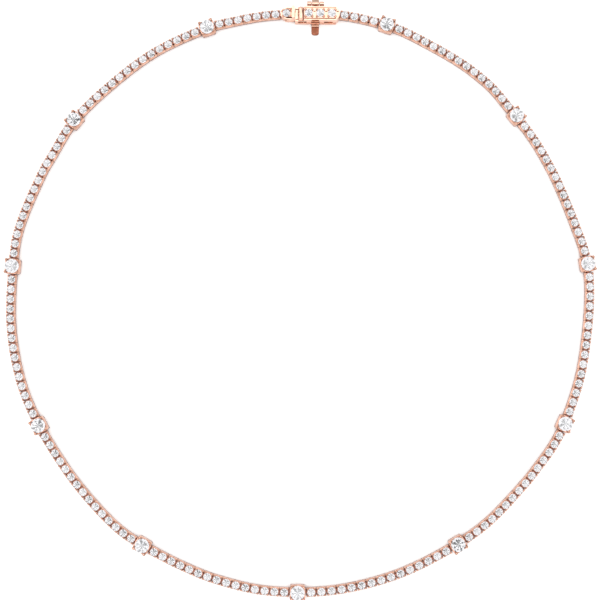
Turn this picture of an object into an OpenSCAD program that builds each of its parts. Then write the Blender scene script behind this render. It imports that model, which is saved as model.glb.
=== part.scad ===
// Riviere necklace: a closed line of small prong-set stones with larger stations and a box clasp.
// It lies flat on Z = 0 with its stones up and the clasp at +Y. The origin is the middle of the whole ring.

/* [Small links] */
// Small stones between one station and the next
run_count = 15; // [10:1:20]
// Diameter of a small stone
small_stone_d = 1.84; // [1.6:0.01:2.2]
// How far a small link's side walls stand out past its stone
small_side_rim = 0.08; // [0.06:0.01:0.2]
// How far a small link's ends stand out past its stone
small_end_rim = 0.11; // [0.1:0.01:0.2]
// Thickness of a small link's side walls
small_wall = 0.3; // [0.25:0.01:0.35]
// Height of a small link's side walls
small_wall_h = 1.45; // [1.3:0.05:2]
// Height of a small stone's edge above its link's walls
small_girdle_rise = 0.1; // [0.05:0.01:0.2]
// Radius of a small link's prongs
small_prong_r = 0.2; // [0.15:0.01:0.22]

/* [Stations] */
// Diameter of a station stone
station_stone_d = 3.4; // [2.6:0.02:3.6]
// How far a station's side walls stand out past its stone
station_side_rim = 0.02; // [0:0.01:0.3]
// How far a station's ends stand out past its stone
station_end_rim = 0.15; // [0.13:0.01:0.4]
// Thickness of a station's walls
station_wall = 0.42; // [0.35:0.01:0.5]
// Height of a station's walls
station_wall_h = 1.95; // [1.8:0.05:2.6]
// Height of a station stone's edge above its basket's walls
station_girdle_rise = 0.2; // [0.1:0.05:0.4]
// Rounding of a station's corners seen from above
station_corner_r = 0.8; // [0.5:0.05:1]
// Radius of a station's prongs
station_prong_r = 0.3; // [0.26:0.01:0.42]

/* [Hinges between links] */
// Space between the walls of neighbouring links
link_gap = 0.26; // [0.25:0.01:0.35]
// Radius of the cross pin in each link
pin_r = 0.12; // [0.1:0.01:0.14]
// Play of a hinge loop round its cross pin
loop_play = 0.14; // [0.13:0.01:0.15]
// Thickness of metal round a hinge loop's hole
loop_wall = 0.13; // [0.12:0.01:0.15]
// Width of a hinge loop across the chain
loop_w = 0.44; // [0.36:0.02:0.48]
// Metal between a link's end and its cross pin
pin_cover = 0.12; // [0.1:0.01:0.15]
// Height of a hinge loop above the surface below
loop_lift = 0.12; // [0.1:0.01:0.2]

/* [Stones] */
// Radius of a prong's round tip, as a multiple of the prong's radius
bead_share = 1.2; // [1.05:0.05:1.25]
// How far a prong tip reaches over its stone's edge
prong_grip = 0.06; // [0.04:0.01:0.08]
// Space between a stone of its own and the metal that holds it
stone_clear = 0.03; // [0.02:0.01:0.05]
// Depth of a stone below its edge, as a share of its diameter
pavilion_share = 0.43; // [0.38:0.01:0.46]
// Height of a stone above its edge, as a share of its diameter
crown_share = 0.16; // [0.12:0.01:0.2]
// Diameter of a stone's flat top, as a share of its diameter
table_share = 0.56; // [0.5:0.01:0.62]
// Thickness of a brilliant's edge, as a share of its diameter
girdle_share = 0.025; // [0.015:0.005:0.04]

/* [Clasp box] */
// Width of the box
box_w = 3.35; // [3:0.05:3.6]
// How far the middle of the box lies in from the line of the chain
box_shift = 0.35; // [0:0.05:0.5]
// Thickness of the box's side walls
box_wall = 0.35; // [0.3:0.01:0.4]
// Thickness of the box's floor above the safety bar
box_floor = 0.3; // [0.25:0.05:0.5]
// Thickness of the box's top
box_top = 1; // [0.85:0.05:1.2]
// Thickness of the box's closed end
box_end = 1; // [0.8:0.05:1.2]
// Length of the slanted corners at the box's closed end
box_point_l = 0.85; // [0.6:0.05:0.9]
// Width of each slanted corner
box_point_w = 1; // [0.6:0.05:1]
// Width of the rims along the box's top
rim_w = 0.25; // [0.2:0.05:0.3]
// Width of the grooves inside the rims
groove_w = 0.2; // [0.1:0.05:0.25]
// Depth of the groove towards the middle of the necklace
groove_depth = 0.4; // [0.2:0.05:0.6]
// Depth of the groove on the hinge's side
outer_groove_depth = 0.12; // [0.05:0.01:0.3]
// Length of a pit between clasp stones
pit_l = 0.5; // [0.3:0.05:0.55]
// Width of a pit between clasp stones
pit_w = 0.22; // [0.1:0.02:0.3]
// Distance of the pits from the stones' line, towards the hinge
pit_shift = 0.42; // [0.3:0.02:0.6]
// Length of the open mouth that the thumb button stands in
mouth_l = 2.15; // [2.05:0.05:2.4]
// Distance from the mouth to the middle of the nearest clasp stone
mouth_inset = 1.16; // [1.15:0.01:1.5]
// Diameter of a clasp stone
clasp_stone_d = 1.95; // [1.7:0.05:2.1]
// Distance from one clasp stone to the next
clasp_stone_pitch = 2.78; // [2.6:0.01:3]
// Width of the opening under a clasp stone, as a share of its diameter
clasp_seat_share = 0.8; // [0.7:0.05:0.9]
// Height of a clasp stone's edge above the box's top
clasp_girdle_rise = 0.08; // [0.05:0.01:0.15]
// Distance from the box's closed end to the middle of the nearest clasp stone
clasp_stone_inset = 1.84; // [1.6:0.01:2]
// Radius of a clasp stone's prongs
clasp_prong_r = 0.22; // [0.18:0.01:0.26]
// Length of a side slot
slot_l = 2.1; // [1.6:0.05:2.4]
// Height of a side slot
slot_h = 0.7; // [0.3:0.02:0.8]
// Distance from one side slot to the next
slot_pitch = 3.15; // [2.9:0.05:3.4]
// Height of a side slot's middle above the box's floor
slot_rise = 0.6; // [0.5:0.02:0.8]
// Depth of the recessed band that the slots lie in
band_depth = 0.1; // [0.05:0.01:0.15]
// Height of the recessed band
band_h = 1.2; // [0.8:0.05:1.3]

/* [Tongue] */
// Thickness of the spring leaf
leaf_t = 0.3; // [0.2:0.01:0.35]
// Height of the folded leaf
leaf_h = 1.3; // [1.1:0.05:1.6]
// Length of the leaf inside the box
leaf_l = 7; // [5:0.1:8]
// Space round the tongue inside the box
tongue_clear = 0.12; // [0.1:0.01:0.15]
// Space beside the tongue inside the box
tongue_side_clear = 0.2; // [0.12:0.01:0.3]
// Thickness of the tongue's end plate
plate_t = 0.62; // [0.5:0.02:0.8]
// Height of the end plate's top above the box's top
plate_rise = 0.2; // [0:0.05:0.5]
// Length of the tongue's pointed head
head_l = 2.76; // [2.7:0.01:3.2]
// Length of the head's slanted sides
head_slant_l = 1.5; // [1.3:0.05:1.6]
// Width of the head's tip
head_tip_w = 1.4; // [1.4:0.05:1.6]
// Thickness of the pointed head's walls
head_wall = 0.25; // [0.22:0.01:0.3]
// Height of the pointed head's walls
head_h = 2.1; // [1.8:0.05:2.4]
// Depth of the head's seat plate below the top of its walls
head_seat_drop = 0.2; // [0.1:0.05:0.4]
// Thickness of the head's seat plate
head_seat_t = 0.3; // [0.2:0.05:0.5]
// Width of the seat plate's part towards the middle of the necklace
head_seat_w = 0.6; // [0.5:0.05:0.8]
// Length of the window in each side wall of the head
head_window_l = 0.95; // [0.5:0.05:1.1]
// Height of the windows in the head's side walls
head_window_h = 0.5; // [0.3:0.05:0.7]
// Depth of the windows below the top of the head's walls
head_window_drop = 0.2; // [0.15:0.05:0.4]
// Distance from the end plate to the setting in the pointed head
head_stone_gap = 0.35; // [0.2:0.05:0.4]
// Length of the thumb button along the box
button_l = 1.25; // [1.1:0.05:1.3]
// Distance of the thumb button's ends from the box's sides
button_inset = 0.12; // [0:0.02:0.3]
// How far the thumb button stands above the box's top
button_rise = 0.25; // [0.1:0.05:0.5]
// Rounding of the thumb button's ends
button_corner_r = 0.5; // [0.2:0.05:0.5]

/* [Safety bar] */
// Width of the bar under the box
bar_w = 1.8; // [1.4:0.05:2]
// Thickness of the bar
bar_t = 0.38; // [0.3:0.02:0.45]
// Space between the bar and what it passes
bar_clear = 0.12; // [0.1:0.01:0.15]
// Height of the bar above the surface below
bar_lift = 0.08; // [0.05:0.01:0.12]
// How far the thumb tab stands out from the box
tab_l = 2.75; // [2:0.05:3]
// Rounding of the bar's bends seen from the side
bar_bend_r = 0.8; // [0.6:0.05:1]
// Rounding of the thumb tab's corners
tab_corner_r = 0.6; // [0.3:0.05:0.7]
// Radius of the snap ridge where the bar leaves the box
ridge_r = 0.3; // [0.2:0.02:0.36]
// Radius of the hinge knuckles
knuckle_r = 0.48; // [0.44:0.01:0.55]
// Length of the bar's own knuckle
knuckle_l = 1.7; // [1.4:0.05:2]
// Length of each knuckle on the box
box_knuckle_l = 1.05; // [0.6:0.05:1.2]
// Radius of the hinge pin
hinge_pin_r = 0.18; // [0.15:0.01:0.2]
// Space round the hinge pin
hinge_clear = 0.03; // [0.02:0.01:0.05]
// Distance from the box's side to the hinge's axis
hinge_out = 0.78; // [0.74:0.02:0.9]
// Depth of the hinge's axis below the box's top
hinge_drop = 0.35; // [0.3:0.05:0.5]
// Depth of the top of the bar's arm below the hinge's axis
arm_drop = 0.05; // [0:0.01:0.08]
// How far the bar bows outward past the hinge's axis
bar_bow = 1.05; // [0.95:0.05:1.2]
// Distance of the bar from the middle of the box, towards the tongue
bar_shift = 0.45; // [0:0.05:0.8]

/* [Hidden] */
$fn = 32;
ROSE_GOLD = [0.87, 0.65, 0.54];
STONE = [0.93, 0.95, 0.97];
eps = 0.05;

STATION_COUNT = 11;
LEAD_COUNT = 4;
TAIL_COUNT = 7;
CLASP_STONE_COUNT = 3;
SLOT_COUNT = 3;
STONE_SIDES = 8;

// Where a brilliant's lower halves end, as shares of its diameter and of its depth below the edge
HALF_R_SHARE = 0.24;
HALF_Z_SHARE = 0.56;

// Small links
small_l = small_stone_d + 2 * small_end_rim;
small_w = small_stone_d + 2 * small_side_rim;
small_bead_r = small_prong_r * bead_share;
small_girdle_z = small_wall_h + small_girdle_rise;

// Hinges between links
loop_r = pin_r + loop_play + loop_wall;
pin_z = loop_lift + loop_r;
pin_inset = pin_cover + pin_r;
web_l = small_l - 2 * (pin_inset + loop_r + loop_play);

// Stations
station_l = station_stone_d + 2 * station_end_rim;
station_w = station_stone_d + 2 * station_side_rim;
station_bead_r = station_prong_r * bead_share;
station_girdle_z = station_wall_h + station_girdle_rise;
station_step = run_count + 1;

// Clasp box, with X along the box and its middle at 0
stones_l = (CLASP_STONE_COUNT - 1) * clasp_stone_pitch;
box_l = mouth_l + mouth_inset + stones_l + clasp_stone_inset;
channel_h = bar_lift + bar_t + bar_clear;
cavity_z = channel_h + box_floor;
cavity_h = leaf_h + 2 * tongue_clear;
box_h = cavity_z + cavity_h + box_top;
cavity_w = box_w - 2 * box_wall;
leaf_w = cavity_w - 2 * tongue_side_clear;
leaf_z = cavity_z + tongue_clear;
wall_top = cavity_z + cavity_h;
button_w = box_w - 2 * button_inset;
clasp_girdle_z = box_h + clasp_girdle_rise;
clasp_bead_r = clasp_prong_r * bead_share;
clasp_last_x = box_l / 2 - clasp_stone_inset;
slot_z = cavity_z + slot_rise;
hinge_y = box_w / 2 + hinge_out;
hinge_z = box_h - hinge_drop;
bar_outer_y = hinge_y + bar_bow + bar_t / 2;
bar_inner_y = -box_w / 2 - tab_l;

// Tongue
plate_x = -box_l / 2 - tongue_clear - plate_t;
plate_h = box_h + plate_rise;
plate_w = leaf_w + 2 * box_shift;
head_x = plate_x - head_l;
head_pin_x = head_x + pin_inset;
head_stone_x = plate_x - small_l / 2 - head_stone_gap;
head_girdle_z = head_h + small_girdle_rise;
head_window_z = head_h - head_window_drop - head_window_h / 2;

// Extra space between links, run by run from the clasp, as the necklace lies
RUN_SPREAD = [0.11, 0.01, 0.06, 0, -0.03, 0.05, -0.03, -0.07, 0.01, -0.01, 0.05, -0.02];

// Links, counted from 0 at the box and clockwise round the loop
function is_station(i) = i >= LEAD_COUNT && (i - LEAD_COUNT) % station_step == 0
    && (i - LEAD_COUNT) / station_step < STATION_COUNT;
function run_of(i) = i < LEAD_COUNT ? 0 : min(floor((i - LEAD_COUNT) / station_step) + 1, STATION_COUNT);
function link_room(i) = link_gap + RUN_SPREAD[run_of(i)];
function link_length(i) = is_station(i) ? station_l : small_l;
small_count = LEAD_COUNT + TAIL_COUNT + run_count * (STATION_COUNT - 1);
link_count = small_count + STATION_COUNT;
middle_link = LEAD_COUNT + station_step * (STATION_COUNT - 1) / 2;

// Where each link's cross pin lies, measured along the loop from the top of the ring
first_pin_s = 10.03;
pin_s = [
    for (i = 0, s = first_pin_s; i <= link_count; s = s + link_length(i) + link_room(i), i = i + 1) s
];
clasp_pin_x = box_l / 2 + link_gap + pin_inset;
clasp_span = clasp_pin_x - head_pin_x;
loop_length = pin_s[link_count] - first_pin_s + clasp_span;

// The line that the chain lies along: angle clockwise from the clasp, and distance from the middle
LOOP_SHAPE = [
    [0, 68.7], [9, 69.2], [19, 69.2], [27, 68.7], [35, 68.7], [42, 68.6], [47, 68.0], [55, 67.8],
    [63, 67.6], [70, 67.6], [76, 68.0], [81, 68.7], [87, 69.0], [95, 68.7], [105, 68.9], [113, 69.1],
    [119, 69.3], [125, 68.9], [131, 68.7], [141, 68.9], [151, 68.7], [162, 68.9], [174, 69.1], [186, 69.2],
    [196, 69.0], [204, 68.8], [213, 69.0], [219, 69.1], [227, 68.6], [235, 68.4], [245, 68.7], [254, 69.0],
    [265, 68.9], [278, 68.9], [285, 69.0], [295, 68.6], [300, 68.5], [308, 69.0], [318, 68.6], [329, 68.9],
    [340, 69.0], [346, 68.8], [353, 68.8]
];
ROUTE_STEPS = 16;

function wrap(i, n) = (i % n + n) % n;
function shape_point(i) =
    let(count = len(LOOP_SHAPE), at = LOOP_SHAPE[wrap(i, count)])
    at[1] * [sin(at[0]), cos(at[0])];
function smooth(a, b, c, d, t) =
    b + t / 2 * ((c - a) + t * ((2 * a - 5 * b + 4 * c - d) + t * (3 * b - a - 3 * c + d)));
route = [
    for (i = [0 : len(LOOP_SHAPE) - 1], j = [0 : ROUTE_STEPS - 1])
        smooth(shape_point(i - 1), shape_point(i), shape_point(i + 1), shape_point(i + 2), j / ROUTE_STEPS),
    shape_point(0)
];
route_end = len(route) - 1;
route_run = [
    for (i = 0, s = 0; i <= route_end; s = s + norm(route[min(i + 1, route_end)] - route[i]), i = i + 1) s
];
route_length = route_run[route_end];
route_scale = loop_length / route_length;
route_x = [for (i = [0 : route_end]) [route_run[i] * route_scale, route[i][0] * route_scale]];
route_y = [for (i = [0 : route_end]) [route_run[i] * route_scale, route[i][1] * route_scale]];

function on_route(s) =
    let(at = s < 0 ? s + loop_length : (s > loop_length ? s - loop_length : s))
    [lookup(at, route_x), lookup(at, route_y)];
pin_at = [for (s = pin_s) on_route(s)];

// How far a prong's middle lies from its stone's middle, along and across
function prong_reach(stone_d, bead_r) = (stone_d / 2 + bead_r - prong_grip) * sqrt(0.5);

// What centres the necklace on the origin, from the outer corners of its links and the safety bar
function link_turn(i) = let(along = pin_at[i + 1] - pin_at[i]) atan2(along[1], along[0]);
function outer_corner(i, end) =
    let(
        turn = link_turn(i),
        x = (1 + end) / 2 * link_length(i) - pin_inset,
        y = is_station(i) ? prong_reach(station_stone_d, station_bead_r) + station_bead_r : small_w / 2
    )
    pin_at[i] + [x * cos(turn) - y * sin(turn), x * sin(turn) + y * cos(turn)];
outer_corners = [for (i = [0 : link_count - 1], end = [-1, 1]) outer_corner(i, end)];
outer_x = [for (p = outer_corners) p[0]];
outer_y = [for (p = outer_corners) p[1]];
clasp_reach_y = pin_at[0][1] + bar_outer_y - box_shift;
ring_shift = -[min(outer_x) + max(outer_x), min(outer_y) + clasp_reach_y] / 2;

STATION_SETTINGS = [for (i = [1 : STATION_COUNT]) str("station_setting_", i)];
STATION_STONES = [for (i = [1 : STATION_COUNT]) str("station_stone_", i)];
CLASP_STONES = [for (i = [1 : CLASP_STONE_COUNT]) str("clasp_stone_", i)];

// Places its child, drawn with its middle at 0 and its length along X, where link i of the chain lies
module at_link(i) {
    along = pin_at[i + 1] - pin_at[i];
    translate([ring_shift[0], ring_shift[1], 0])
        translate([pin_at[i][0], pin_at[i][1], 0])
            rotate([0, 0, atan2(along[1], along[0])])
                translate([link_length(i) / 2 - pin_inset, 0, 0])
                    children();
}

// Places its child, drawn along X with the box's middle at 0, where the clasp lies
module at_clasp() {
    along = pin_at[0] - pin_at[link_count];
    translate([ring_shift[0], ring_shift[1], 0])
        translate([pin_at[link_count][0], pin_at[link_count][1], 0])
            rotate([0, 0, atan2(along[1], along[0])])
                translate([-head_pin_x, 0, 0])
                    children();
}

// The same with Y at 0 along the middle of the box
module at_box() {
    at_clasp()
        translate([0, -box_shift, 0])
            children();
}

// Flat outline with round corners
module rounded_square(l, w, r) {
    square([l - 2 * r, w], center = true);
    square([l, w - 2 * r], center = true);
    for (x = [-1, 1], y = [-1, 1])
        translate([x * (l / 2 - r), y * (w / 2 - r)])
            circle(r);
}

// The same outline between two opposite corners
module rounded_block(from, to, r) {
    translate((from + to) / 2)
        rounded_square(to[0] - from[0], to[1] - from[1], r);
}

// Loop that reaches from x_from to the next link's cross pin at x_pin
module hinge_loop(x_from, x_pin) {
    translate([0, loop_w / 2, pin_z])
        rotate([90, 0, 0])
            linear_extrude(loop_w)
                difference() {
                    union() {
                        translate([x_from, -loop_r])
                            square([x_pin - x_from, 2 * loop_r]);
                        translate([x_pin, 0])
                            circle(loop_r);
                    }
                    translate([x_pin, 0])
                        circle(pin_r + loop_play);
                }
}

module cross_pin(x, span) {
    translate([x, 0, pin_z])
        rotate([90, 0, 0])
            cylinder(h = span, r = pin_r, center = true);
}

// Prongs whose round tips reach over a stone's edge
module prongs(stone_d, r, bead_r, z_from, girdle_z) {
    reach = prong_reach(stone_d, bead_r);
    tip_z = girdle_z + bead_r / 2;
    for (x = [-1, 1], y = [-1, 1])
        translate([x * reach, y * reach, 0]) {
            translate([0, 0, z_from])
                cylinder(h = tip_z - z_from, r = r);
            translate([0, 0, tip_z])
                sphere(bead_r);
        }
}

// Space that a stone fills, with its clearance
module stone_space(d) {
    r = d / 2 + stone_clear;
    deep = pavilion_share * d + stone_clear;
    edge = girdle_share * d + stone_clear;
    high = edge + crown_share * d;
    half_r = HALF_R_SHARE * d + stone_clear;
    half_z = -HALF_Z_SHARE * pavilion_share * d;
    rotate_extrude()
        polygon([
            [0, -deep], [half_r, half_z], [r, -stone_clear], [r, edge], [table_share * r, high], [0, high]
        ]);
}

function ring_of(r, z, count, turn) =
    [for (i = [0 : count - 1], angle = (i + turn) * 360 / count) [r * cos(angle), r * sin(angle), z]];

// Plain cut stone for the small links: a flat table, eight facets above the edge and eight below
module small_stone(d) {
    n = STONE_SIDES;
    points = concat(
        ring_of(table_share * d / 2, crown_share * d, n, 0.5),
        ring_of(d / 2, 0, n, 0.5),
        [[0, 0, -pavilion_share * d]]
    );
    table = [[for (i = [n - 1 : -1 : 0]) i]];
    crown = [for (i = [0 : n - 1]) [i, (i + 1) % n, n + (i + 1) % n, n + i]];
    pavilion = [for (i = [0 : n - 1]) [n + i, n + (i + 1) % n, 2 * n]];
    polyhedron(points, concat(table, crown, pavilion));
}

// Round brilliant: table, stars, kites and halves above the edge, mains and halves below
module brilliant(d) {
    n = STONE_SIDES;
    edge = girdle_share * d;
    star_r = (table_share + 0.6 * (1 - table_share)) * d / 2;
    star_z = edge + 0.52 * crown_share * d;
    low_r = HALF_R_SHARE * d;
    low_z = -HALF_Z_SHARE * pavilion_share * d;
    points = concat(
        ring_of(table_share * d / 2, edge + crown_share * d, n, 0),
        ring_of(star_r, star_z, n, 0.5),
        ring_of(d / 2, edge, 2 * n, 0),
        ring_of(d / 2, 0, 2 * n, 0),
        ring_of(low_r, low_z, n, 0.5),
        [[0, 0, -pavilion_share * d]]
    );
    star = n;
    top = 2 * n;
    base = 4 * n;
    low = 6 * n;
    tip = 7 * n;
    table = [[for (i = [n - 1 : -1 : 0]) i]];
    stars = [for (i = [0 : n - 1]) [i, (i + 1) % n, star + i]];
    kites = [for (i = [0 : n - 1]) [i, star + i, top + 2 * i, star + (i + n - 1) % n]];
    halves = [
        for (i = [0 : n - 1], side = [0, 1])
            [star + i, top + (2 * i + side + 1) % (2 * n), top + 2 * i + side]
    ];
    girdle = [
        for (i = [0 : 2 * n - 1])
            [top + i, top + (i + 1) % (2 * n), base + (i + 1) % (2 * n), base + i]
    ];
    low_halves = [
        for (i = [0 : n - 1], side = [0, 1])
            [base + 2 * i + side, base + (2 * i + side + 1) % (2 * n), low + i]
    ];
    mains = [for (i = [0 : n - 1]) [base + 2 * i, low + i, tip, low + (i + n - 1) % n]];
    polyhedron(points, concat(table, stars, kites, halves, girdle, low_halves, mains));
}

// One small link: side walls joined by a web, four prongs, its stone, its cross pin and its hinge loop
module small_link(room) {
    color(ROSE_GOLD) {
        linear_extrude(small_wall_h) {
            for (side = [-1, 1])
                translate([0, side * (small_w - small_wall) / 2])
                    square([small_l, small_wall], center = true);
            square([web_l, small_w], center = true);
        }
        prongs(small_stone_d, small_prong_r, small_bead_r, pin_z + loop_r, small_girdle_z);
        cross_pin(-small_l / 2 + pin_inset, small_w - small_wall);
        hinge_loop(0, small_l / 2 + room + pin_inset);
    }
    color(STONE)
        translate([0, 0, small_girdle_z])
            small_stone(small_stone_d);
}

module chain(first, last) {
    for (i = [first : last])
        if (!is_station(i))
            at_link(i)
                small_link(link_room(i));
}

module chain_right() {
    chain(0, middle_link - 1);
}

module chain_left() {
    chain(middle_link + 1, link_count - 1);
}

function station_link(number) = LEAD_COUNT + station_step * (number - 1);

// Station basket: rounded walls, four heavy prongs, a window for the neighbour's loop, and its own loop
module station_setting(number) {
    window_w = loop_w + 4 * loop_play;
    window_h = pin_z + loop_r + loop_play;
    cavity = [station_l - 2 * station_wall, station_w - 2 * station_wall];
    i = station_link(number);
    at_link(i)
        color(ROSE_GOLD) {
            difference() {
                union() {
                    difference() {
                        linear_extrude(station_wall_h)
                            rounded_square(station_l, station_w, station_corner_r);
                        translate([0, 0, -eps])
                            linear_extrude(station_wall_h + 2 * eps)
                                square(cavity, center = true);
                    }
                    prongs(station_stone_d, station_prong_r, station_bead_r, eps, station_girdle_z);
                }
                translate([0, 0, station_girdle_z])
                    stone_space(station_stone_d);
                translate([-station_l / 2 - eps, -window_w / 2, -eps])
                    cube([station_wall + 2 * eps, window_w, window_h + eps]);
            }
            cross_pin(-station_l / 2 + pin_inset, window_w + 2 * eps);
            hinge_loop((station_l - station_wall) / 2, station_l / 2 + link_room(i) + pin_inset);
        }
}

module station_stone(number) {
    at_link(station_link(number))
        color(STONE)
            translate([0, 0, station_girdle_z])
                brilliant(station_stone_d);
}

function clasp_stone_x(number) = clasp_last_x - (CLASP_STONE_COUNT - number) * clasp_stone_pitch;

// Outline of the box from above: a square open end, and slanted corners at the closed end
module box_outline() {
    end_x = box_l / 2;
    side_y = box_w / 2;
    polygon([
        [-end_x, -side_y], [end_x - box_point_l, -side_y], [end_x, box_point_w - side_y],
        [end_x, side_y - box_point_w], [end_x - box_point_l, side_y], [-end_x, side_y]
    ]);
}

module box_knuckles() {
    for (side = [-1, 1])
        translate([-bar_shift + side * (knuckle_l / 2 + bar_clear + box_knuckle_l / 2), 0, 0]) {
            translate([0, hinge_y, hinge_z])
                rotate([0, 90, 0])
                    cylinder(h = box_knuckle_l, r = knuckle_r, center = true);
            translate([-box_knuckle_l / 2, box_w / 2 - eps, hinge_z - knuckle_r])
                cube([box_knuckle_l, hinge_out + eps, knuckle_r]);
        }
}

// Grooves along the rims, and pits between the stones
module top_cuts() {
    for (side = [-1, 1])
        translate([0, side * (box_w / 2 - rim_w - groove_w / 2), box_h]) {
            depth = side < 0 ? groove_depth : outer_groove_depth;
            cube([box_l - 2 * box_point_l, groove_w, 2 * depth], center = true);
        }
    for (i = [1 : CLASP_STONE_COUNT])
        translate([clasp_stone_x(i) + clasp_stone_pitch / 2, pit_shift, box_h])
            cube([pit_l, pit_w, 2 * groove_depth], center = true);
}

// Hollow box: three stone seats, a mouth open to the top and sides, side slots and a channel for the bar
module clasp_box() {
    seat = clasp_stone_d * clasp_seat_share;
    at_box()
        color(ROSE_GOLD)
            difference() {
                union() {
                    linear_extrude(box_h)
                        box_outline();
                    for (i = [1 : CLASP_STONE_COUNT])
                        translate([clasp_stone_x(i), 0, 0])
                            prongs(
                                clasp_stone_d, clasp_prong_r, clasp_bead_r, box_h - eps, clasp_girdle_z
                            );
                    box_knuckles();
                }
                translate([-box_l / 2 - eps, -cavity_w / 2, cavity_z])
                    cube([box_l - box_end + eps, cavity_w, cavity_h]);
                translate([-box_l / 2 - eps, -box_w / 2 - eps, wall_top - eps])
                    cube([mouth_l + eps, box_w + 2 * eps, box_top + 2 * eps]);
                top_cuts();
                for (i = [1 : CLASP_STONE_COUNT])
                    translate([clasp_stone_x(i), 0, 0]) {
                        translate([-seat / 2, -seat / 2, wall_top - eps])
                            cube([seat, seat, box_top + 2 * eps]);
                        translate([0, 0, clasp_girdle_z])
                            stone_space(clasp_stone_d);
                    }
                for (i = [0 : SLOT_COUNT - 1])
                    translate([-bar_shift + (i - 1) * slot_pitch, 0, slot_z])
                        cube([slot_l, box_w + 2 * eps, slot_h], center = true);
                for (side = [-1, 1])
                    translate([0, side * box_w / 2, slot_z])
                        cube([box_l - 2 * box_point_l, 2 * band_depth, band_h], center = true);
                translate([-bar_shift - bar_w / 2 - bar_clear, -box_w / 2 - eps, -eps])
                    cube([bar_w + 2 * bar_clear, box_w + 2 * eps, channel_h + eps]);
                translate([-bar_shift, hinge_y, hinge_z])
                    rotate([0, 90, 0])
                        cylinder(h = box_l, r = hinge_pin_r + hinge_clear, center = true);
            }
    at_clasp()
        color(ROSE_GOLD)
            hinge_loop(box_l / 2 - box_end / 2, clasp_pin_x);
}

module clasp_stone(number) {
    at_box()
        color(STONE)
            translate([clasp_stone_x(number), 0, clasp_girdle_z])
                brilliant(clasp_stone_d);
}

// Folded leaf seen from the side, open at the plate and closed at its tip
module leaf_outline() {
    start = plate_x + plate_t - eps;
    difference() {
        leaf_end(start, leaf_h);
        leaf_end(start - eps, leaf_h - 2 * leaf_t);
        translate([start - eps, leaf_z + leaf_t])
            square([-box_l / 2 + tongue_clear - start + eps, leaf_h]);
    }
}

// Bar of the given height from x_from to the leaf's round tip, level with the leaf's middle
module leaf_end(x_from, h) {
    fold_x = -box_l / 2 + leaf_l - leaf_h / 2;
    translate([x_from, leaf_z + (leaf_h - h) / 2])
        square([fold_x - x_from, h]);
    translate([fold_x, leaf_z + leaf_h / 2])
        circle(h / 2);
}

// Pillow-shaped button over the box's side walls in the mouth, on a stem that stands on the upper leaf
module thumb_button() {
    stem_z = leaf_z + leaf_h - eps;
    cap_z = wall_top + tongue_clear;
    top_z = box_h + button_rise;
    r = button_l / 2;
    end_y = button_w / 2;
    translate([-box_l / 2 + mouth_l - tongue_clear - r, 0, 0]) {
        translate([-r, -leaf_w / 2, stem_z])
            cube([button_l, leaf_w, cap_z - stem_z + eps]);
        intersection() {
            translate([0, end_y + eps, 0])
                rotate([90, 0, 0])
                    linear_extrude(button_w + 2 * eps) {
                        translate([-r, cap_z])
                            square([button_l, top_z - r - cap_z]);
                        translate([0, top_z - r])
                            circle(r);
                    }
            translate([-r - eps, 0, 0])
                rotate([90, 0, 90])
                    linear_extrude(button_l + 2 * eps)
                        rounded_block([-end_y, cap_z - button_corner_r], [end_y, top_z], button_corner_r);
            linear_extrude(top_z + eps)
                rounded_block([-r - eps, -end_y], [r + eps, end_y], button_corner_r);
        }
    }
}

// Outline of the pointed head from above, drawn in by inset on both sides
module head_outline(inset) {
    tip_y = head_tip_w / 2 - inset;
    side_y = plate_w / 2 - inset;
    shoulder_x = head_x + head_slant_l;
    polygon([
        [head_x, -tip_y], [shoulder_x, -side_y], [plate_x + eps, -side_y],
        [plate_x + eps, side_y], [shoulder_x, side_y], [head_x, tip_y]
    ]);
}

// Pointed head: walls with a window each, from the plate to the cross pin, a web, and an inner frame
// and a seat plate with one stone's prongs
module tongue_head() {
    reach = prong_reach(small_stone_d, small_bead_r);
    frame_x = head_stone_x - reach - small_prong_r;
    difference() {
        union() {
            linear_extrude(head_h) {
                difference() {
                    head_outline(0);
                    head_outline(head_wall);
                    translate([head_x - eps, head_wall - head_tip_w / 2])
                        square([2 * eps, head_tip_w - 2 * head_wall]);
                }
                for (side = [-1, 1])
                    translate([frame_x, side * reach - head_wall / 2])
                        square([plate_x + eps - frame_x, head_wall]);
            }
            linear_extrude(pin_z + loop_r)
                translate([head_stone_x - web_l / 2, -plate_w / 2])
                    square([web_l, plate_w]);
            translate([head_stone_x, 0, 0])
                prongs(small_stone_d, small_prong_r, small_bead_r, pin_z + loop_r, head_girdle_z);
            translate([0, 0, head_h - head_seat_drop - head_seat_t])
                linear_extrude(head_seat_t)
                    intersection() {
                        head_outline(head_wall / 2);
                        translate([head_x, -head_seat_w])
                            square([head_l + eps, head_seat_w + plate_w / 2]);
                    }
        }
        translate([head_stone_x, 0, head_girdle_z])
            stone_space(small_stone_d);
        for (side = [-1, 1])
            translate([head_stone_x + head_window_l / 4, side * plate_w / 2, head_window_z])
                cube([head_window_l, 4 * head_wall, head_window_h], center = true);
    }
    cross_pin(head_pin_x, head_tip_w - head_wall);
}

module tongue() {
    at_clasp()
        color(ROSE_GOLD) {
            translate([plate_x, -plate_w / 2, 0])
                cube([plate_t, plate_w, plate_h]);
            tongue_head();
        }
    at_box()
        color(ROSE_GOLD) {
            translate([0, leaf_w / 2, 0])
                rotate([90, 0, 0])
                    linear_extrude(leaf_w)
                        leaf_outline();
            thumb_button();
        }
}

module tongue_stone() {
    at_clasp()
        color(STONE)
            translate([head_stone_x, 0, head_girdle_z])
                brilliant(small_stone_d);
}

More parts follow.
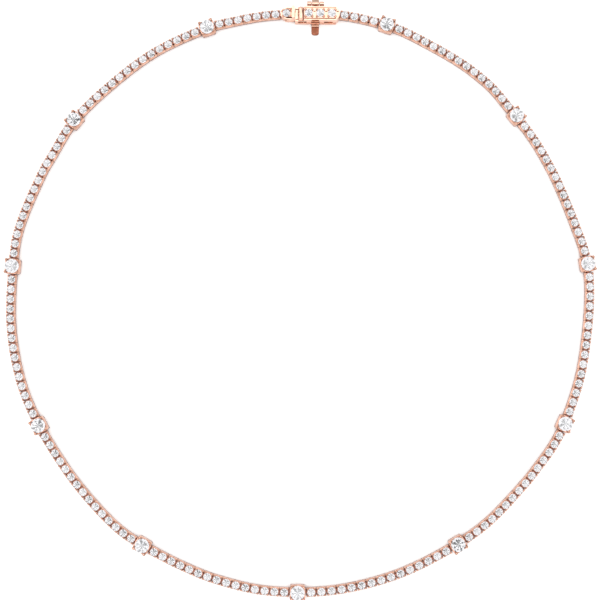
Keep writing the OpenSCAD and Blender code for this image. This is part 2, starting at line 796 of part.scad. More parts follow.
// Side view of the bar, with the hinge's axis at hinge_y, hinge_z
module bar_outline() {
    spare_y = bar_inner_y - 2 * bar_bend_r;
    floor_z = bar_lift + bar_t;
    arm_z = hinge_z - arm_drop;
    difference() {
        rounded_block([spare_y, bar_lift], [bar_outer_y, arm_z], bar_bend_r);
        rounded_block(
            [spare_y - bar_t, floor_z], [bar_outer_y - bar_t, arm_z - bar_t], bar_bend_r - bar_t
        );
        translate([spare_y - eps, floor_z])
            square([hinge_y - spare_y + eps, arm_z]);
        translate([spare_y - eps, 0])
            square([bar_inner_y - spare_y + eps, arm_z]);
    }
    translate([-box_w / 2 - 2 * bar_clear - ridge_r, floor_z])
        circle(ridge_r);
    translate([hinge_y, hinge_z])
        circle(knuckle_r);
}

module safety_bar() {
    at_box()
        color(ROSE_GOLD)
            translate([-bar_shift, 0, 0])
                difference() {
                    intersection() {
                        translate([-knuckle_l, 0, 0])
                            rotate([90, 0, 90])
                                linear_extrude(2 * knuckle_l)
                                    bar_outline();
                        linear_extrude(hinge_z + 2 * knuckle_r) {
                            translate([-knuckle_l / 2, 0])
                                square([knuckle_l, bar_outer_y]);
                            rounded_block([-bar_w / 2, bar_inner_y], [bar_w / 2, box_w / 2], tab_corner_r);
                        }
                    }
                    translate([0, hinge_y, hinge_z])
                        rotate([0, 90, 0])
                            cylinder(h = 2 * knuckle_l, r = hinge_pin_r + hinge_clear, center = true);
                }
}

module hinge_pin() {
    pin_l = knuckle_l + 2 * (bar_clear + box_knuckle_l);
    at_box()
        color(ROSE_GOLD)
            translate([-bar_shift, hinge_y, hinge_z])
                rotate([0, 90, 0])
                    cylinder(h = pin_l, r = hinge_pin_r, center = true);
}

chain_right();
chain_left();
for (i = [1 : STATION_COUNT]) {
    station_setting(i);
    station_stone(i);
}
clasp_box();
for (i = [1 : CLASP_STONE_COUNT])
    clasp_stone(i);
tongue();
tongue_stone();
safety_bar();
hinge_pin();
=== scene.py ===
"""Finishes of a rose gold riviere necklace that lies in a ring, with its box clasp away from the viewer.

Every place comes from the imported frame. Sizes are in millimetres until a piece is finished.
"""
import math

import bmesh
import bpy
import numpy as np
from mathutils import Matrix, Vector

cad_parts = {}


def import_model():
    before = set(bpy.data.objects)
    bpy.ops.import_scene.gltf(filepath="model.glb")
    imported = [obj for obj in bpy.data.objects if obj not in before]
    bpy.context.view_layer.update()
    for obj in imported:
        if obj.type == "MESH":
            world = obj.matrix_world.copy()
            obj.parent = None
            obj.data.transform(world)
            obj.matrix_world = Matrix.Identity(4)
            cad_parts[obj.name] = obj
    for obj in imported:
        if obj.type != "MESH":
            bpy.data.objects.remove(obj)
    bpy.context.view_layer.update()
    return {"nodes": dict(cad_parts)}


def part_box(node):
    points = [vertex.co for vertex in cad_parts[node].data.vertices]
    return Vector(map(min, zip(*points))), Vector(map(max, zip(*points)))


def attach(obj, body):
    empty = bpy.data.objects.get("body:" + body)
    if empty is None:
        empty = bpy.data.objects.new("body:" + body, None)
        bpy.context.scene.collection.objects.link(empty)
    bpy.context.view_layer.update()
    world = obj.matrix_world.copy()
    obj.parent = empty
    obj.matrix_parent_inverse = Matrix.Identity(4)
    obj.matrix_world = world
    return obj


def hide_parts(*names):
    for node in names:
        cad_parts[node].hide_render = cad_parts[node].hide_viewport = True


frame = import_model()

MM = 0.001
MERGE = 1e-6
STATION_COUNT = 11
CLASP_STONE_COUNT = 3
QUARTER = math.pi / 2

# Small links
small_stone_d = 1.84
small_l = 2.06
small_w = 2.0
small_wall = 0.3
small_wall_h = 1.45
small_girdle_z = 1.55
small_prong_r = 0.2
small_bead_r = 0.24
small_foot_z = 0.5
small_rail_t = 0.2
small_rail_h = 0.5
small_web_l = 0.52
small_web_h = 0.7
small_edge_r = 0.06
wall_reach = 0.14

# Hinges between links
pin_r = 0.12
pin_z = 0.51
pin_inset = 0.24
loop_r = 0.39
loop_wall = 0.14
loop_w = 0.44
loop_sides = 12
link_room = 0.26

# Stations
station_stone_d = 3.4
station_l = 3.7
station_w = 3.44
station_wall = 0.42
station_wall_h = 1.95
station_girdle_z = 2.15
station_corner_r = 0.8
station_prong_r = 0.3
station_bead_r = 0.36
station_foot_z = 0.05
station_prong_sides = 14
station_window_w = 1.0
station_window_h = 1.04
station_window_sink = 0.1
station_pin_overrun = 0.1
station_edge_r = 0.1
seat_sides = 32
seat_tip_r = 0.05

# Clasp: faces broader than these two limits are shaded flat
clasp_stone_d = 1.95
clasp_edge_r = 0.05
clasp_edge_angle = 35
flat_area = 0.25
flat_corners = 7
tab_l = 2.05

# Stones, as shares of the diameter, and of the depth for the rings below the edge
stone_sides = 8
prong_grip = 0.06
seat_clear = 0.03
pavilion_share = 0.43
crown_share = 0.16
table_share = 0.56
girdle_share = 0.025
star_reach = 0.6
star_height = 0.52
low_ring_r = 0.34
low_ring_depth = 0.32
core_ring_r = 0.17
core_ring_depth = 0.66
stone_turn_step = 0.4

# Painted reflections: how brightly each facet below a stone's edge glows, round the stone: outer, middle and
# inner
OUTER_PAINTED_LIGHT = [1.0, 0.15, 1.0, 0.4, 1.0, 0.1, 0.7, 0.25, 1.0, 1.0, 0.8, 1.0, 0.6, 0.15, 1.0, 0.2]
MIDDLE_PAINTED_LIGHT = [1.0, 0.8, 1.0, 1.0, 0.3, 1.0, 0.9, 1.0, 1.0, 0.9, 1.0, 1.0, 1.0, 1.0, 0.35, 1.0]
INNER_PAINTED_LIGHT = [0.0, 1.0, 0.0, 1.0, 0.0, 0.3, 1.0, 0.0, 1.0, 0.0, 0.2, 0.0, 1.0, 0.0, 0.0, 1.0]

# Reading the frame: a link's base lies below foot_top, and its loop's end past tip_share of its reach
foot_top = 0.01
tip_share = 0.95

# Gold
# Painted shade: the dark red-brown put where the gold lies in a hollow and where the floor lies in a gap
# between links
painted_shade_colour = (0.3, 0.07, 0.035)
cloud_scale = 900
grain_scale = 9000
bump_depth = 0.02
rough_spread = 0.1
# How much less the gold mirrors where its shade is painted
hollow_dull = 0.6

# Stones' finish: how strongly the painted reflections show, at least and by how much more, and how facets
# mirror; then the painted glow's blue share, the glass and the glow's strength
shade_least = 0.6
shade_spread = 0.5
mirror_grey = 0.12
blue_share = 1.03
stone_ior = 1.8
stone_glow = 0.88

# Camera, floor and light
camera_tilt = 4.2
camera_distance = 238.6
camera_lens = 60.41
camera_aim = (-0.083, -1.405, 2.0)
floor_half = 2.0
floor_white = 0.9
floor_glow = 0.25
floor_shade_reach = 1.2
tent_dark = (0.17,) * 3
tent_mid = (0.24,) * 3
tent_bright = (1.0,) * 3
tent_strength = 2.1


class Term:
    """One output of a node. Sums and products of terms add their Math nodes."""

    def __init__(self, graph, node, output=0):
        self.graph = graph
        self.node = node
        self.socket = node.outputs[output]

    def out(self, output):
        return Term(self.graph, self.node, output)

    def math(self, operation, first, second):
        return self.graph.node("ShaderNodeMath", {0: first, 1: second}, operation=operation)

    def __add__(self, other):
        return self.math("ADD", self, other)

    def __radd__(self, other):
        return self.math("ADD", other, self)

    def __sub__(self, other):
        return self.math("SUBTRACT", self, other)

    def __rsub__(self, other):
        return self.math("SUBTRACT", other, self)

    def __mul__(self, other):
        return self.math("MULTIPLY", self, other)

    def __neg__(self):
        return self.math("MULTIPLY", self, -1)


class Graph:
    """A node tree and the methods that add its nodes."""

    def __init__(self, tree):
        self.tree = tree

    def node(self, kind, sockets=None, stops=None, **settings):
        """Adds a node: first its settings, then the values or links of its sockets."""
        made = self.tree.nodes.new(kind)
        for name, value in settings.items():
            setattr(made, name, value)
        if stops:
            ramp = made.color_ramp
            while len(ramp.elements) < len(stops):
                ramp.elements.new(1)
            for element, (place, colour) in zip(ramp.elements, stops):
                element.position = place
                element.color = (*colour, 1)
        for key, value in (sockets or {}).items():
            for one in value if isinstance(value, list) else [value]:
                if isinstance(one, Term):
                    self.tree.links.new(one.socket, made.inputs[key])
                else:
                    made.inputs[key].default_value = one
        return Term(self, made)

    def mixed(self, share, first, second):
        """Blends two colours, each a term or three numbers."""
        ends = [one if isinstance(one, Term) else (*one, 1) for one in (first, second)]
        blend = self.node("ShaderNodeMix", {"Factor": share, 6: ends[0], 7: ends[1]}, data_type="RGBA")
        return blend.out(2)

    def remapped(self, value, low, high, at_low, at_high):
        return self.node("ShaderNodeMapRange", {0: value, 1: low, 2: high, 3: at_low, 4: at_high})

    def rgb(self, red, green, blue):
        return self.node("ShaderNodeCombineColor", {"Red": red, "Green": green, "Blue": blue})

    def attribute(self, name):
        return self.node("ShaderNodeAttribute", attribute_name=name).out("Fac")

    def open_share(self, reach):
        """How open a surface lies within that many millimetres, from 0 in a hollow to 1."""
        return self.node("ShaderNodeAmbientOcclusion", {"Distance": reach * MM}, samples=8).out("AO")


class ShapeTree(Graph):
    """Geometry Nodes that make one shape and set it at every point of a mesh."""

    def __init__(self, name):
        super().__init__(bpy.data.node_groups.new(name, "GeometryNodeTree"))
        for side in ("INPUT", "OUTPUT"):
            self.tree.interface.new_socket("Geometry", in_out=side, socket_type="NodeSocketGeometry")
        self.group_in = self.node("NodeGroupInput")

    def size(self, name, kind="NodeSocketFloat"):
        """A named input of the tree."""
        self.tree.interface.new_socket(name, in_out="INPUT", socket_type=kind)
        return self.group_in.out(name)

    def vector(self, x=0.0, y=0.0, z=0.0):
        return self.node("ShaderNodeCombineXYZ", {"X": x, "Y": y, "Z": z})

    def moved(self, shape, x=0.0, y=0.0, z=0.0, turn=(0, 0, 0)):
        place = {"Geometry": shape, "Translation": self.vector(x, y, z), "Rotation": turn}
        return self.node("GeometryNodeTransform", place)

    def join(self, *shapes):
        return self.node("GeometryNodeJoinGeometry", {"Geometry": list(shapes)})

    def block(self, l, w, h):
        return self.node("GeometryNodeMeshCube", {"Size": self.vector(l, w, h)})

    def rod(self, r, length, sides=8):
        return self.node("GeometryNodeMeshCylinder", {"Vertices": sides, "Radius": r, "Depth": length})

    def ball(self, r, segments, rings):
        return self.node("GeometryNodeMeshUVSphere", {"Segments": segments, "Rings": rings, "Radius": r})

    def rounded(self, l, w, r, count):
        """Closed curve round a rectangle with round corners."""
        flat = self.node("GeometryNodeCurvePrimitiveQuadrilateral", {"Width": l, "Height": w})
        return self.node("GeometryNodeFilletCurve", {"Curve": flat, "Count": count, "Radius": r}, mode="POLY")

    def sweep(self, path, profile):
        swept = {"Curve": path, "Profile Curve": profile, "Fill Caps": True}
        return self.node("GeometryNodeCurveToMesh", swept)

    def bar(self, l, w, h, r):
        """Bar along X with rounded long edges."""
        ends = {"Start": self.vector(l * -0.5), "End": self.vector(l * 0.5)}
        line = self.node("GeometryNodeCurvePrimitiveLine", ends)
        return self.sweep(line, self.rounded(w, h, r, 1))

    def smooth(self, shape):
        return self.node("GeometryNodeSetShadeSmooth", {"Geometry": shape, "Shade Smooth": True})

    def corner_prongs(self, reach, r, bead_r, foot_z, girdle_z, sides=8):
        """Four prongs whose round tips lean over a stone's edge."""
        tip_z = girdle_z + bead_r * 0.5
        rod = self.moved(self.rod(r, tip_z - foot_z, sides), z=(tip_z + foot_z) * 0.5)
        tip = self.moved(self.ball(bead_r, sides, sides // 2 + 1), z=tip_z)
        grid = {"Size X": reach * 2, "Size Y": reach * 2, "Vertices X": 2, "Vertices Y": 2}
        corners = self.node("GeometryNodeMeshGrid", grid)
        on_corners = {"Points": corners, "Instance": self.smooth(self.join(rod, tip))}
        return self.node("GeometryNodeInstanceOnPoints", on_corners)

    def hinge(self, pin_x, span, loop_x, from_x):
        """Cross pin at one end, and the loop that holds the next link's pin at the other."""
        pin = self.moved(self.rod(pin_r, span), x=pin_x, z=pin_z, turn=(QUARTER, 0, 0))
        round_path = {"Resolution": loop_sides, "Radius": loop_r - loop_wall / 2}
        circle = self.node("GeometryNodeCurvePrimitiveCircle", round_path)
        ring = self.sweep(circle, self.rounded(loop_wall, loop_w, loop_wall / 4, 1))
        ring = self.moved(ring, x=loop_x, z=pin_z, turn=(QUARTER, 0, 0))
        reach = loop_x - from_x - loop_r + loop_wall
        arm = self.moved(self.block(reach, loop_w, 2 * loop_r), x=from_x + reach * 0.5, z=pin_z)
        return self.join(self.smooth(self.join(pin, ring)), arm)

    def set_on_points(self, shape, seed=1):
        """Sets the shape on the points, each turned by its own angle and given its own random shade."""
        angle = self.node("GeometryNodeInputNamedAttribute", {"Name": "turn"}, data_type="FLOAT")
        turned = self.node("FunctionNodeEulerToRotation", {"Euler": self.vector(z=angle)})
        placed = self.node(
            "GeometryNodeInstanceOnPoints",
            {"Points": self.group_in.out("Geometry"), "Instance": shape, "Rotation": turned},
        )
        shade = self.node("FunctionNodeRandomValue", {"Seed": seed}, data_type="FLOAT")
        placed = self.node(
            "GeometryNodeStoreNamedAttribute",
            {"Geometry": placed, "Name": "shade", "Value": shade.out(1)},
            data_type="FLOAT",
            domain="INSTANCE",
        )
        real = self.node("GeometryNodeRealizeInstances", {"Geometry": placed})
        material = self.size("Finish", "NodeSocketMaterial")
        done = self.node("GeometryNodeSetMaterial", {"Geometry": real, "Material": material})
        output = self.tree.nodes.new("NodeGroupOutput")
        self.tree.links.new(done.socket, output.inputs[0])


def shown(name, data):
    """A new object in the scene."""
    made = bpy.data.objects.new(name, data)
    bpy.context.scene.collection.objects.link(made)
    return made


def merged_copy(node):
    """A CAD node's mesh in millimetres, with its doubles merged."""
    work = bmesh.new()
    work.from_mesh(frame["nodes"][node].data)
    bmesh.ops.remove_doubles(work, verts=work.verts, dist=MERGE)
    bmesh.ops.scale(work, vec=(1 / MM,) * 3, verts=work.verts)
    return work


def loose_solids(node):
    """The corner points of each separate solid in a CAD node."""
    work = merged_copy(node)
    left = set(work.verts)
    solids = []
    for start in work.verts:
        if start not in left:
            continue
        left.remove(start)
        front = {start}
        points = []
        while front:
            points += [v.co[:] for v in front]
            front = {e.other_vert(v) for v in front for e in v.link_edges} & left
            left -= front
        solids.append(np.array(points))
    work.free()
    return solids


def turn_of(points, middle):
    """The way a link points, from its middle to its hinge loop, which reaches farthest."""
    reach = np.linalg.norm(points[:, :2] - middle, axis=1)
    tip = points[reach > tip_share * reach.max(), :2].mean(0)
    return math.atan2(tip[1] - middle[1], tip[0] - middle[0])


def link_places(node):
    """Middle and turn of every small link in a chain node."""
    places = []
    for points in loose_solids(node):
        base = points[points[:, 2] < foot_top, :2]
        middle = (base.min(0) + base.max(0)) / 2
        places.append((middle, turn_of(points, middle)))
    return places


def box_middle(node):
    low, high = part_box(node)
    return np.array((low + high)[:2]) / 2 / MM


def station_places():
    """Middle and turn of every station."""
    places = []
    for number in range(1, STATION_COUNT + 1):
        middle = box_middle(f"station_stone_{number}")
        points = np.concatenate(loose_solids(f"station_setting_{number}"))
        places.append((middle, turn_of(points, middle)))
    return places


def stone_places(nodes):
    """Middle and turn of stones that are nodes of their own."""
    return [(box_middle(node), stone_turn_step * number) for number, node in enumerate(nodes)]


def points_mesh(name, places):
    """One loose point for each place, with its turn as an attribute."""
    mesh = bpy.data.meshes.new(name)
    mesh.from_pydata([(*middle, 0) for middle, turn in places], [], [])
    turns = mesh.attributes.new("turn", "FLOAT", "POINT")
    turns.data.foreach_set("value", [turn for middle, turn in places])
    return mesh


def finished(name, source, nodes, body="necklace"):
    """Turns an object in millimetres into a plain mesh in metres and gives it its place in the necklace."""
    bpy.context.view_layer.update()
    evaluated = source.evaluated_get(bpy.context.evaluated_depsgraph_get())
    mesh = bpy.data.meshes.new_from_object(evaluated)
    bpy.data.objects.remove(source)
    mesh.transform(Matrix.Scale(MM, 4))
    mesh.name = name
    piece = shown(name, mesh)
    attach(piece, body)
    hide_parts(*nodes)
    return piece


def grown(name, shape_tree, places, finish, nodes, sizes):
    """A piece that a shape tree makes at every place."""
    source = shown(name + "_points", points_mesh(name, places))
    modifier = source.modifiers.new("shape", "NODES")
    modifier.node_group = shape_tree.tree
    values = {**sizes, "Finish": finish}
    for item in shape_tree.tree.interface.items_tree:
        if item.in_out == "INPUT" and item.name in values:
            modifier[item.identifier] = values[item.name]
    return finished(name, source, nodes)


def softened(name, node, finish, body="necklace"):
    """A CAD node's own shape with its sharp edges rounded off."""
    work = merged_copy(node)
    bmesh.ops.dissolve_limit(work, angle_limit=math.radians(1), verts=work.verts, edges=work.edges)
    mesh = bpy.data.meshes.new(name)
    work.to_mesh(mesh)
    work.free()
    mesh.materials.append(finish)
    source = shown(name + "_raw", mesh)
    bevel = source.modifiers.new("edges", "BEVEL")
    bevel.width = clasp_edge_r
    bevel.segments = 2
    bevel.limit_method = "ANGLE"
    bevel.angle_limit = math.radians(clasp_edge_angle)
    piece = finished(name, source, [node], body)
    for face in piece.data.polygons:
        face.use_smooth = face.area < flat_area * MM * MM and len(face.vertices) < flat_corners
    return piece


def brush_tab(bar):
    """Brushes the thumb tab, from its end to a fine line before the bar's ridge, with a darker gold that
    paints shade on it.
    """
    bar.data.materials.append(brushed_and_shaded)
    end_y = min(v.co.y for v in bar.data.vertices)
    for face in bar.data.polygons:
        if face.center.y < end_y + tab_l * MM:
            face.material_index = 1


def prong_reach(stone_d, bead_r):
    """How far a prong's middle lies from its stone's middle, along and across."""
    return (stone_d / 2 + bead_r - prong_grip) * math.sqrt(0.5)


def ring_of(r, z, count, turn):
    angles = [(i + turn) * 2 * math.pi / count for i in range(count)]
    return [(r * math.cos(a), r * math.sin(a), z) for a in angles]


def brilliant_mesh(name, d):
    """Round brilliant with its edge at 0: table, stars, kites and halves above, three rings of facets below.

    Each facet below carries its painted reflection, as the light that it glows with, and how far it mirrors.
    """
    n = stone_sides
    edge = girdle_share * d
    deep = pavilion_share * d
    tall = crown_share * d
    star_share = table_share + star_reach * (1 - table_share)
    points = ring_of(table_share * d / 2, edge + tall, n, 0)
    points += ring_of(star_share * d / 2, edge + star_height * tall, n, 0.5)
    points += ring_of(d / 2, edge, 2 * n, 0)
    points += ring_of(d / 2, 0, 2 * n, 0)
    points += ring_of(low_ring_r * d, -low_ring_depth * deep, 2 * n, 0.5)
    points += ring_of(core_ring_r * d, -core_ring_depth * deep, 2 * n, 0)
    points += [(0, 0, -deep)]
    star, top, base, low, core, tip = n, 2 * n, 4 * n, 6 * n, 8 * n, 10 * n
    faces = [list(range(n))]
    painted_lights = [0.0]
    mirrors = [0.0]
    for i in range(n):
        after = (i + 1) % n
        before = (i + n - 1) % n
        faces += [
            [i, star + i, after],
            [i, star + before, top + 2 * i, star + i],
            [star + i, top + 2 * i, top + 2 * i + 1],
            [star + i, top + 2 * i + 1, top + (2 * i + 2) % (2 * n)],
        ]
        painted_lights += [0.0] * 4
        mirrors += [0.0] * 4
    for i in range(2 * n):
        after = (i + 1) % (2 * n)
        before = (i + 2 * n - 1) % (2 * n)
        faces += [
            [top + i, base + i, base + after, top + after],
            [base + i, low + i, base + after],
            [base + i, low + before, core + i, low + i],
            [core + i, tip, core + after, low + i],
        ]
        painted_lights += [0.0, OUTER_PAINTED_LIGHT[i], MIDDLE_PAINTED_LIGHT[i], INNER_PAINTED_LIGHT[i]]
        mirrors += [0.0, 1.0, 1.0, 1.0]
    mesh = bpy.data.meshes.new(name)
    mesh.from_pydata(points, [], faces)
    for label, values in (("tone", painted_lights), ("mirror", mirrors)):
        mesh.attributes.new(label, "FLOAT", "FACE").data.foreach_set("value", values)
    return mesh


def cut_stone(name, d):
    """A brilliant that the stone tree sets in its places. It isn't shown itself."""
    return bpy.data.objects.new(name, brilliant_mesh(name, d))


def link_setting_tree():
    """Small open link: side walls, end rails, web, four prongs, cross pin and hinge loop."""
    t = ShapeTree("small_link")
    l = t.size("Length")
    w = t.size("Width")
    wall = t.size("Wall")
    wall_h = t.size("Wall height")
    edge_r = t.size("Edge rounding")
    rail_t = t.size("Rail")
    rail_h = t.size("Rail height")
    reach = t.size("Prong reach")
    prong_r = t.size("Prong radius")
    bead_r = t.size("Bead radius")
    girdle_z = t.size("Girdle height")
    room = t.size("Room")
    side = t.bar(l + wall_reach, wall, wall_h, edge_r)
    side_y = (w - wall) * 0.5
    rail = t.moved(t.bar(w - wall, rail_t, rail_h, edge_r), z=wall_h - rail_h * 0.5, turn=(0, 0, QUARTER))
    rail_x = (l - rail_t) * 0.5
    web = t.moved(t.block(small_web_l, w - wall, small_web_h), z=small_web_h / 2)
    parts = t.join(
        t.moved(side, y=side_y, z=wall_h * 0.5),
        t.moved(side, y=-side_y, z=wall_h * 0.5),
        t.moved(rail, x=rail_x),
        t.moved(rail, x=-rail_x),
        web,
        t.corner_prongs(reach, prong_r, bead_r, small_foot_z, girdle_z),
        t.hinge(l * -0.5 + pin_inset, w - wall, l * 0.5 + room + pin_inset, small_web_l / 2),
    )
    t.set_on_points(parts)
    return t


def station_setting_tree():
    """Station basket: rounded walls with a window for the next loop, a cut seat and four heavy prongs."""
    t = ShapeTree("station_setting")
    l = t.size("Length")
    w = t.size("Width")
    wall = t.size("Wall")
    wall_h = t.size("Wall height")
    corner_r = t.size("Corner rounding")
    edge_r = t.size("Edge rounding")
    reach = t.size("Prong reach")
    prong_r = t.size("Prong radius")
    bead_r = t.size("Bead radius")
    girdle_z = t.size("Girdle height")
    stone_d = t.size("Stone diameter")
    room = t.size("Room")
    path = t.rounded(l - wall, w - wall, corner_r - wall * 0.5, 4)
    walls = t.moved(t.sweep(path, t.rounded(wall, wall_h, edge_r, 2)), z=wall_h * 0.5)
    window = t.moved(
        t.block(wall * 2, station_window_w, station_window_h),
        x=(l - wall) * -0.5,
        z=station_window_h / 2 - station_window_sink,
    )
    depth = stone_d * pavilion_share
    cone = t.node("GeometryNodeMeshCone", {
        "Vertices": seat_sides,
        "Radius Top": stone_d * 0.5 + seat_clear,
        "Radius Bottom": seat_tip_r,
        "Depth": depth,
    })
    cone = t.moved(cone, z=girdle_z - depth)
    basket = t.node(
        "GeometryNodeMeshBoolean", {"Mesh 1": walls, "Mesh 2": [window, cone]}, operation="DIFFERENCE"
    )
    span = station_window_w + station_pin_overrun
    parts = t.join(
        basket,
        t.corner_prongs(reach, prong_r, bead_r, station_foot_z, girdle_z, station_prong_sides),
        t.hinge(l * -0.5 + pin_inset, span, l * 0.5 + room + pin_inset, l * 0.5 - wall),
    )
    t.set_on_points(parts)
    return t


def stones_tree():
    """A cut stone at every point, at the height of its edge."""
    t = ShapeTree("stones")
    cut = t.node("GeometryNodeObjectInfo", {"Object": t.size("Cut", "NodeSocketObject")})
    stone = t.moved(cut.out("Geometry"), z=t.size("Girdle height"))
    t.set_on_points(stone, seed=7)
    return t


def new_material(name):
    material = bpy.data.materials.new(name)
    material.use_nodes = True
    material.node_tree.nodes.clear()
    return material, Graph(material.node_tree)


def close_material(graph, values):
    """Ends a material in one principled shader."""
    shader = graph.node("ShaderNodeBsdfPrincipled", values)
    output = graph.tree.nodes.new("ShaderNodeOutputMaterial")
    graph.tree.links.new(shader.socket, output.inputs["Surface"])


def gold_finish(name, light, deep, roughness, scratch, reach):
    """Gold with faint clouds of colour and fine scratches, and painted shade in its hollows: darker, redder
    and less mirroring where other surfaces lie near.
    """
    material, g = new_material(name)
    place = g.node("ShaderNodeTexCoord").out("Object")
    clouds = g.node("ShaderNodeTexNoise", {"Vector": place, "Scale": cloud_scale, "Detail": 2})
    clouds = g.remapped(clouds, 0.4, 0.6, 0.0, 1.0)
    grain = g.node("ShaderNodeTexNoise", {"Vector": place, "Scale": grain_scale, "Detail": 2})
    # Painted shade, from how shut in each point lies
    hollow = g.remapped(g.open_share(reach), 0.3, 0.8, 1.0, 0.0)
    bump = {"Height": grain, "Strength": scratch, "Distance": bump_depth * MM}
    close_material(g, {
        "Base Color": g.mixed(hollow, g.mixed(clouds, light, deep), painted_shade_colour),
        "Metallic": 1 - hollow * hollow_dull,
        "Roughness": clouds * rough_spread + (roughness - rough_spread / 2),
        "Normal": g.node("ShaderNodeBump", bump),
    })
    return material


def stone_finish(name):
    """Clear cut stone: glass above its edge, and facets below that glow with painted reflections."""
    material, g = new_material(name)
    tone = g.attribute("tone")
    mirror = g.attribute("mirror")
    strength = g.attribute("shade") * shade_spread + shade_least
    colour = (1 - mirror) + mirror * mirror_grey
    # Painted reflections: the facets below the edge glow with their painted light, however they are lit
    painted_glow = mirror - (mirror - tone) * strength
    close_material(g, {
        "Base Color": g.rgb(colour, colour, colour),
        "Metallic": mirror,
        "Roughness": 0.01,
        "IOR": stone_ior,
        "Transmission Weight": 1.0,
        "Emission Color": g.rgb(painted_glow, painted_glow, painted_glow * blue_share),
        "Emission Strength": stone_glow,
    })
    return material


def camera():
    """Camera above the ring, tipped a little towards the clasp."""
    tilt = math.radians(camera_tilt)
    data = bpy.data.cameras.new("camera")
    data.sensor_width = 36
    data.lens = camera_lens
    data.clip_start = 0.01
    made = shown("camera", data)
    back = Vector((0, -math.sin(tilt), math.cos(tilt)))
    made.location = (Vector(camera_aim) + back * camera_distance) * MM
    made.rotation_euler = (tilt, 0, 0)
    bpy.context.scene.camera = made


def floor():
    """White floor with painted warm shade in the narrow gaps between links, where its glow is also turned
    off.
    """
    mesh = bpy.data.meshes.new("floor")
    corners = [(x * floor_half, y * floor_half, 0) for x, y in ((-1, -1), (1, -1), (1, 1), (-1, 1))]
    mesh.from_pydata(corners, [], [(0, 1, 2, 3)])
    material, g = new_material("floor_white")
    # Painted shade: the floor turns dark red-brown and stops glowing where it lies shut in between links
    lit = g.remapped(g.open_share(floor_shade_reach), 0.12, 0.4, 0.0, 1.0)
    close_material(g, {
        "Base Color": g.mixed(lit, painted_shade_colour, (floor_white,) * 3),
        "Roughness": 0.9,
        "Specular IOR Level": 0.0,
        "Emission Color": g.mixed(lit, (0, 0, 0), (1, 1, 1)),
        "Emission Strength": floor_glow,
    })
    mesh.materials.append(material)
    shown("floor", mesh)


def area_light(name, place, width, power):
    """Square light that faces the middle of the ring."""
    data = bpy.data.lights.new(name, "AREA")
    data.shape = "RECTANGLE"
    data.size = data.size_y = width
    data.energy = power
    made = shown(name, data)
    made.location = place
    made.rotation_euler = (-Vector(place)).to_track_quat("-Z", "Y").to_euler()


def world():
    """Light tent: bright overhead and darker to its sides, but bright farther down through stones."""
    made = bpy.data.worlds.new("studio")
    made.use_nodes = True
    made.node_tree.nodes.clear()
    g = Graph(made.node_tree)
    way = g.node("ShaderNodeTexCoord").out("Generated")
    height = g.node("ShaderNodeSeparateXYZ", {"Vector": way}).out("Z")
    tent_stops = [(0.0, tent_dark), (0.76, tent_mid), (0.88, tent_bright), (1, tent_bright)]
    inner_stops = [(0.0, tent_mid), (0.25, tent_mid), (0.4, tent_bright), (1, tent_bright)]
    tent = g.node("ShaderNodeValToRGB", {"Fac": height}, stops=tent_stops)
    inner = g.node("ShaderNodeValToRGB", {"Fac": height}, stops=inner_stops)
    through = g.node("ShaderNodeLightPath").out("Is Transmission Ray")
    light = {"Color": g.mixed(through, tent, inner), "Strength": tent_strength}
    output = g.tree.nodes.new("ShaderNodeOutputWorld")
    g.tree.links.new(g.node("ShaderNodeBackground", light).socket, output.inputs["Surface"])
    bpy.context.scene.world = made


# Finishes: light and deep colour, roughness, scratches and how far the painted shade of hollows reaches
polished = gold_finish("polished_gold", (0.82, 0.49, 0.37), (0.6, 0.33, 0.235), 0.13, 0.1, 0.9)
# The clasp's and the bar's gold are lighter copies of the chain's gold, painted light that brightens them
clasp_lit_polish = gold_finish("clasp_gold", (0.88, 0.56, 0.43), (0.82, 0.5, 0.37), 0.11, 0.05, 0.5)
bar_lit_polish = gold_finish("bar_lit_gold", (0.9, 0.6, 0.46), (0.86, 0.54, 0.4), 0.2, 0.05, 0.1)
# The tab's brushed gold is a darker copy, painted shade on top of a rough brushed finish
brushed_and_shaded = gold_finish("brushed_shaded_gold", (0.42, 0.16, 0.1), (0.3, 0.11, 0.065), 0.45, 0.6, 0.3)
clear_stone = stone_finish("clear_stone")

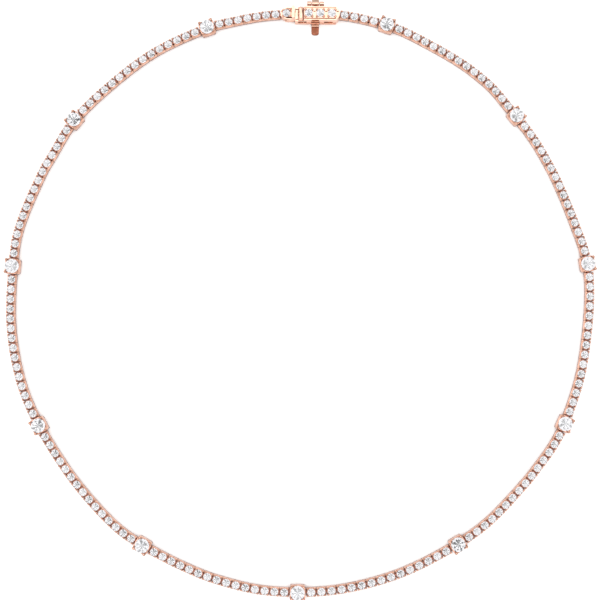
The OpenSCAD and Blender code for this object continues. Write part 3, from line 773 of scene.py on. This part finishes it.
# Shape trees and the sizes that they take
links = link_setting_tree()
stations = station_setting_tree()
stones = stones_tree()
small_sizes = {
    "Length": small_l,
    "Width": small_w,
    "Wall": small_wall,
    "Wall height": small_wall_h,
    "Edge rounding": small_edge_r,
    "Rail": small_rail_t,
    "Rail height": small_rail_h,
    "Prong reach": prong_reach(small_stone_d, small_bead_r),
    "Prong radius": small_prong_r,
    "Bead radius": small_bead_r,
    "Girdle height": small_girdle_z,
    "Room": link_room,
}
station_sizes = {
    "Length": station_l,
    "Width": station_w,
    "Wall": station_wall,
    "Wall height": station_wall_h,
    "Corner rounding": station_corner_r,
    "Edge rounding": station_edge_r,
    "Prong reach": prong_reach(station_stone_d, station_bead_r),
    "Prong radius": station_prong_r,
    "Bead radius": station_bead_r,
    "Girdle height": station_girdle_z,
    "Stone diameter": station_stone_d,
    "Room": link_room,
}

# Small links and their stones
small_cut = cut_stone("small_cut", small_stone_d)
for side in ("right", "left"):
    node = f"chain_{side}"
    places = link_places(node)
    grown(f"links_{side}", links, places, polished, [node], small_sizes)
    stone_sizes = {"Cut": small_cut, "Girdle height": small_girdle_z}
    grown(f"stones_{side}", stones, places, clear_stone, [node], stone_sizes)

# Stations and their stones
places = station_places()
nodes = [f"station_setting_{i}" for i in range(1, STATION_COUNT + 1)]
grown("station_settings", stations, places, polished, nodes, station_sizes)
nodes = [f"station_stone_{i}" for i in range(1, STATION_COUNT + 1)]
stone_sizes = {"Cut": cut_stone("station_cut", station_stone_d), "Girdle height": station_girdle_z}
grown("station_stones", stones, places, clear_stone, nodes, stone_sizes)

# Clasp and its stones
softened("clasp_box_body", "clasp_box", clasp_lit_polish)
softened("tongue_body", "tongue", clasp_lit_polish)
brush_tab(softened("safety_bar_body", "safety_bar", bar_lit_polish, "safety_bar"))
frame["nodes"]["hinge_pin"].data.materials.clear()
frame["nodes"]["hinge_pin"].data.materials.append(polished)
for name, d, nodes in (
    ("clasp_stones", clasp_stone_d, [f"clasp_stone_{i}" for i in range(1, CLASP_STONE_COUNT + 1)]),
    ("head_stone", small_stone_d, ["tongue_stone"]),
):
    girdle_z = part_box(nodes[0])[0][2] / MM + pavilion_share * d
    stone_sizes = {"Cut": cut_stone(name + "_cut", d), "Girdle height": girdle_z}
    grown(name, stones, stone_places(nodes), clear_stone, nodes, stone_sizes)

# Camera, floor and light
camera()
floor()
world()
area_light("key_box", (-0.62, 0.2, 0.52), 0.4, 1.2)
area_light("fill_box", (0.55, -0.38, 0.5), 0.35, 0.7)
bpy.context.scene.view_settings.view_transform = "Standard"
